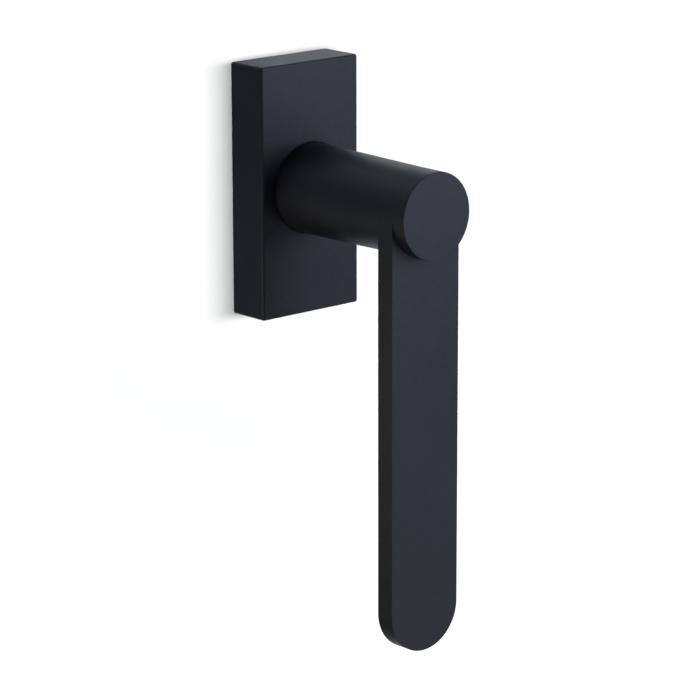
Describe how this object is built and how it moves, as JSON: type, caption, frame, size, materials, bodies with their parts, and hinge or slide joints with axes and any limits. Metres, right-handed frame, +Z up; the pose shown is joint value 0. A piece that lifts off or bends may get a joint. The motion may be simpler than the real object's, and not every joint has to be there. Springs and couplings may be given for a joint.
{
  "type": "tilt and turn window handle",
  "caption": "Matt black tilt-and-turn window handle: flat rectangular rose, round neck ending in a flat disc, and a flat paddle lever with a round end that hangs down.",
  "frame": {"origin": "centre of the rose's rear face, on the spindle's axis, in the plane of the window sash", "axes": "+Z up, +Y into the sash along the spindle, so the lever projects into the room towards -Y, +X to the right seen from the room"},
  "size_m": [0.0344, 0.0984, 0.1564],
  "materials": {
    "coat_black": "matte black powder coat with a very fine texture",
    "zinc_casting": "raw zinc alloy die casting",
    "acetal_white": "natural acetal",
    "acetal_black": "moulded black acetal",
    "zinc_plated_sheet": "zinc-plated sheet steel",
    "zinc_plated_steel": "zinc-plated steel",
    "spring_steel": "bare spring steel",
    "cam_steel": "sintered steel",
    "bright_steel": "bright ground steel",
    "blackened_steel": "phosphated black spring steel"
  },
  "bodies": {
    "rose": {"rose_cover": "coat_black", "base_plate": "zinc_casting", "neck_bush": "acetal_white", "retaining_plate": "zinc_plated_sheet", "retaining_plate_screws": "zinc_plated_steel", "detent_spring_left": "spring_steel", "detent_spring_right": "spring_steel", "fixing_screws": "zinc_plated_steel", "support_lug_upper": "acetal_black", "support_lug_lower": "acetal_black", "cover_clip_upper": "spring_steel", "cover_clip_lower": "spring_steel"},
    "handle": {"lever_neck": "coat_black", "lever_blade": "coat_black", "blade_locking_screw": "blackened_steel", "spindle": "zinc_plated_steel", "spindle_pin": "bright_steel", "detent_cam": "cam_steel", "thrust_washer": "bright_steel", "retaining_ring": "blackened_steel"}
  },
  "joints": [
    {"name": "handle_turn", "type": "hinge", "parent": "rose", "child": "handle", "pos_m": [0, 0, 0], "axis": [0, 1, 0], "range_deg": [0, 180], "deforming": ["detent_spring_left", "detent_spring_right"]}
  ]
}
